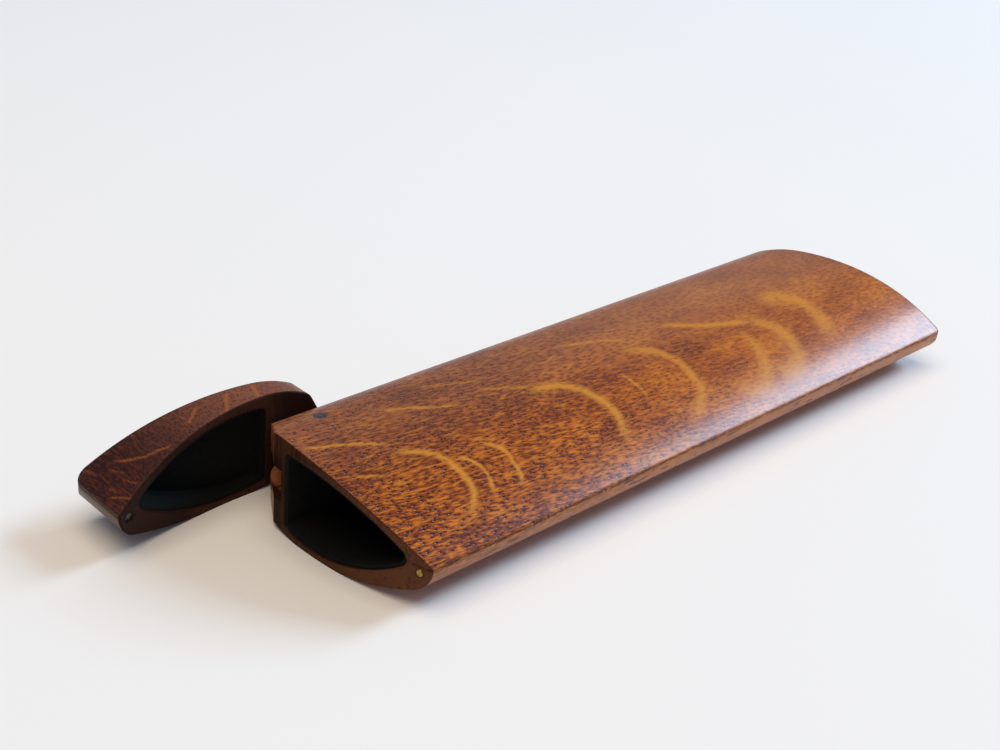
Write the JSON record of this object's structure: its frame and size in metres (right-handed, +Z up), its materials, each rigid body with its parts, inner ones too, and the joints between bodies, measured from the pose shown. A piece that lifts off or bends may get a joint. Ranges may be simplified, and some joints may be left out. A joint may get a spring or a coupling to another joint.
{
  "type": "pen case",
  "caption": "Slim carved wooden pen case with a felt-lined pocket, closed by a short hollow lid that swivels sideways on a pin.",
  "frame": {"origin": "on the flat of the underside, half way along the body's sharp edge, under the lowest line of the belly", "axes": "+Z up, square to the glued seam; +X along the case from the mouth to the closed end; +Y across it, from the sharp edge to the pivot's side"},
  "size_m": [0.2038, 0.0633, 0.0212],
  "materials": {
    "body_wood": "oiled oak with open pores, satin",
    "lid_wood": "oiled dark oak, satin",
    "felt": "near-black wool felt",
    "dark_steel": "blued steel, filed flush",
    "brass_plate": "brass-plated steel",
    "nickel_plate": "nickel-plated magnet"
  },
  "bodies": {
    "case": {"case_upper": "body_wood", "case_lower": "body_wood", "case_lining": "felt", "pivot_pin": "dark_steel", "catch_stud": "brass_plate"},
    "lid": {"lid_upper": "lid_wood", "lid_lower": "lid_wood", "lid_lining": "felt", "catch_magnet": "nickel_plate"}
  },
  "joints": [
    {"name": "lid_pivot", "type": "hinge", "parent": "case", "child": "lid", "pos_m": [-0.07865, 0.01406, 0.01058], "axis": [0, 0, 1], "range_deg": [0, 90]}
  ]
}
